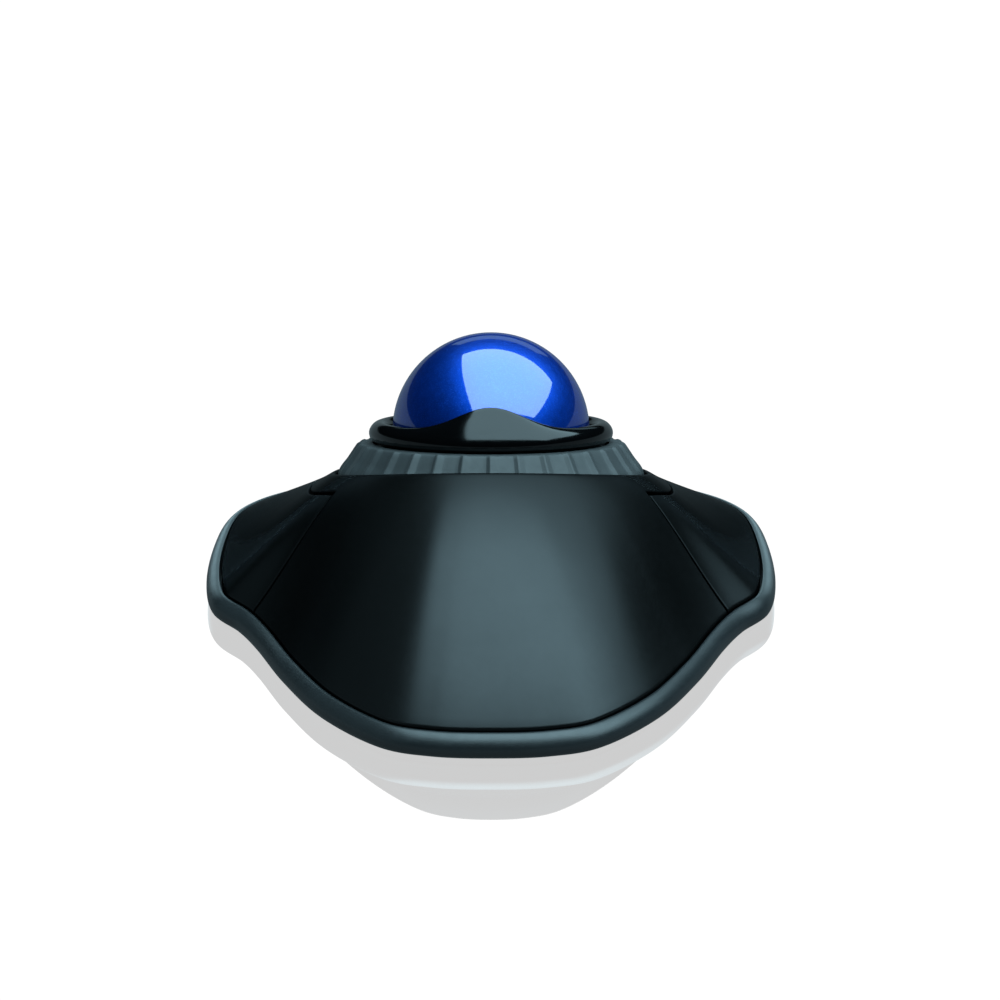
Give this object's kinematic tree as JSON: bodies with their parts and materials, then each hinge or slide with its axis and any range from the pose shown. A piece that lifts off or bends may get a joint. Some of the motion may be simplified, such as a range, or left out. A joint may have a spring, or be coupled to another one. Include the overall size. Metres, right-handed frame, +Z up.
{
  "type": "trackball mouse",
  "caption": "Desktop trackball: a ball in a tilted cup ringed by a fluted scroll ring, with a wing-shaped button each side and a sloping palm panel on a rimmed base.",
  "frame": {"origin": "on the desk, under the middle of the outline", "axes": "+X to the right, +Y away from the user, +Z up"},
  "size_m": [0.1164, 0.123, 0.052],
  "materials": {
    "shell_black": "satin, fine moulded texture",
    "rim_slate": "satin slate grey",
    "case_black": "moulded, lightly textured",
    "bezel_gloss": "piano black",
    "ball_pearl": "pearl blue under clear coat",
    "ring_rubber": "matt grey",
    "steel": "turned",
    "bearing_steel": "polished",
    "board_green": "solder mask",
    "chip_black": "moulded",
    "lens_clear": "clear moulded lens",
    "led_red": "tinted epoxy",
    "capacitor_sleeve": "shrunk sleeve",
    "connector_ivory": "nylon",
    "switch_black": "moulded",
    "plunger_ivory": "acetal",
    "gland_rubber": "soft moulded",
    "foot_rubber": "matt pad"
  },
  "bodies": {
    "case": {"base_plate": "case_black", "rim_band": "rim_slate", "top_shell": "shell_black", "left_pivot_pin": "steel", "right_pivot_pin": "steel", "inner_frame": "case_black", "ball_cup": "case_black", "support_bearings": "bearing_steel", "ball_bezel": "bezel_gloss", "ring_emitter": "chip_black", "ring_detector": "chip_black", "ring_encoder_board": "board_green", "sensor_board": "board_green", "sensor_chip": "chip_black", "sensor_lens": "lens_clear", "sensor_led": "led_red", "main_board": "board_green", "microcontroller": "chip_black", "crystal": "steel", "capacitors": "capacitor_sleeve", "cable_header": "connector_ivory", "left_switch_board": "board_green", "right_switch_board": "board_green", "left_switch_body": "switch_black", "right_switch_body": "switch_black", "cable_gland": "gland_rubber", "case_screws": "steel", "frame_screws": "steel", "board_screws": "steel", "rubber_feet": "foot_rubber"},
    "ball_body": {"ball": "ball_pearl"},
    "ring_body": {"scroll_ring_grip": "ring_rubber", "scroll_ring_carrier": "case_black"},
    "left_button_body": {"left_button": "shell_black"},
    "right_button_body": {"right_button": "shell_black"},
    "left_plunger_body": {"left_switch_plunger": "plunger_ivory"},
    "right_plunger_body": {"right_switch_plunger": "plunger_ivory"}
  },
  "joints": [
    {"name": "ball_roll", "type": "hinge", "parent": "case", "child": "ball_body", "pos_m": [0, 0.017, 0.032], "axis": [1, 0, 0], "continuous": true},
    {"name": "scroll_ring_turn", "type": "hinge", "parent": "case", "child": "ring_body", "pos_m": [0, 0.017, 0.032], "axis": [0, 0.3256, 0.9455], "continuous": true},
    {"name": "left_button_press", "type": "hinge", "parent": "case", "child": "left_button_body", "pos_m": [-0.0376, 0.001, 0.011], "axis": [-1, 0, 0], "range_deg": [0, 1.2], "stiffness_Nm_per_rad": 1, "springref_deg": -0.57},
    {"name": "right_button_press", "type": "hinge", "parent": "case", "child": "right_button_body", "pos_m": [0.0376, 0.001, 0.011], "axis": [-1, 0, 0], "range_deg": [0, 1.2], "stiffness_Nm_per_rad": 1, "springref_deg": -0.57},
    {"name": "left_switch_press", "type": "slide", "parent": "case", "child": "left_plunger_body", "axis": [0, 0, -1], "range_m": [0, 0.0006]},
    {"name": "right_switch_press", "type": "slide", "parent": "case", "child": "right_plunger_body", "axis": [0, 0, -1], "range_m": [0, 0.0006]}
  ],
  "couplings": [
    {"joint": "left_switch_press", "follows": "left_button_press", "m_per_rad": 0.0264},
    {"joint": "right_switch_press", "follows": "right_button_press", "m_per_rad": 0.0264}
  ]
}
